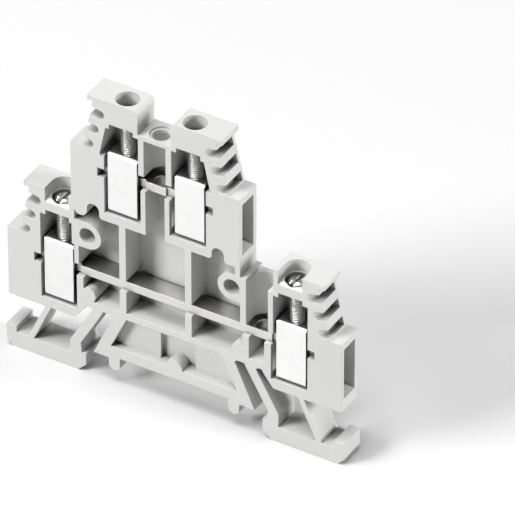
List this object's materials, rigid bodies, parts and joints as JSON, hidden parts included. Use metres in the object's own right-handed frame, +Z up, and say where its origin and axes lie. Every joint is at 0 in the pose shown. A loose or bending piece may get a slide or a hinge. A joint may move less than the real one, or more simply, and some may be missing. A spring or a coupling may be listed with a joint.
{
  "type": "double level terminal block",
  "caption": "Slim rail-mounted double level terminal block with an open-sided moulded housing, spring feet, current bars and screw clamps with lifting cages.",
  "frame": {"origin": "middle of the 35 mm mounting rail's width, on the top of its flanges, halfway through the block's thickness", "axes": "+Z up, away from the rail; +X along the block's length, across the rail; the open side of the housing faces -Y, along the rail"},
  "size_m": [0.0642, 0.0052, 0.0568],
  "materials": {
    "housing": "light grey moulded polyamide, fine satin",
    "current_bar": "tin plated, bright",
    "cage": "bright zinc plated",
    "screw": "bright zinc plated, darker in the shade"
  },
  "bodies": {
    "block": {"housing": "housing", "lower_current_bar": "current_bar", "upper_current_bar": "current_bar"},
    "lower_left_screw_body": {"lower_left_screw": "screw"},
    "lower_left_cage_body": {"lower_left_cage": "cage"},
    "lower_right_screw_body": {"lower_right_screw": "screw"},
    "lower_right_cage_body": {"lower_right_cage": "cage"},
    "upper_left_screw_body": {"upper_left_screw": "screw"},
    "upper_left_cage_body": {"upper_left_cage": "cage"},
    "upper_right_screw_body": {"upper_right_screw": "screw"},
    "upper_right_cage_body": {"upper_right_cage": "cage"}
  },
  "joints": [
    {"name": "lower_left_screw_turn", "type": "hinge", "parent": "block", "child": "lower_left_screw_body", "pos_m": [-0.02195, -0.0003, 0.02785], "axis": [0, 0, -1], "range_deg": [0, 3361]},
    {"name": "lower_left_cage_lift", "type": "slide", "parent": "block", "child": "lower_left_cage_body", "axis": [0, 0, 1], "range_m": [0, 0.0042]},
    {"name": "lower_right_screw_turn", "type": "hinge", "parent": "block", "child": "lower_right_screw_body", "pos_m": [0.02195, -0.0003, 0.02785], "axis": [0, 0, -1], "range_deg": [0, 3361]},
    {"name": "lower_right_cage_lift", "type": "slide", "parent": "block", "child": "lower_right_cage_body", "axis": [0, 0, 1], "range_m": [0, 0.0042]},
    {"name": "upper_left_screw_turn", "type": "hinge", "parent": "block", "child": "upper_left_screw_body", "pos_m": [-0.0096, -0.0003, 0.04965], "axis": [0, 0, -1], "range_deg": [0, 3361]},
    {"name": "upper_left_cage_lift", "type": "slide", "parent": "block", "child": "upper_left_cage_body", "axis": [0, 0, 1], "range_m": [0, 0.0042]},
    {"name": "upper_right_screw_turn", "type": "hinge", "parent": "block", "child": "upper_right_screw_body", "pos_m": [0.003, -0.0003, 0.04965], "axis": [0, 0, -1], "range_deg": [0, 3361]},
    {"name": "upper_right_cage_lift", "type": "slide", "parent": "block", "child": "upper_right_cage_body", "axis": [0, 0, 1], "range_m": [0, 0.0042]}
  ],
  "couplings": [
    {"joint": "lower_left_screw_turn", "follows": "lower_left_cage_lift", "rad_per_m": 13963},
    {"joint": "lower_right_screw_turn", "follows": "lower_right_cage_lift", "rad_per_m": 13963},
    {"joint": "upper_left_screw_turn", "follows": "upper_left_cage_lift", "rad_per_m": 13963},
    {"joint": "upper_right_screw_turn", "follows": "upper_right_cage_lift", "rad_per_m": 13963}
  ]
}
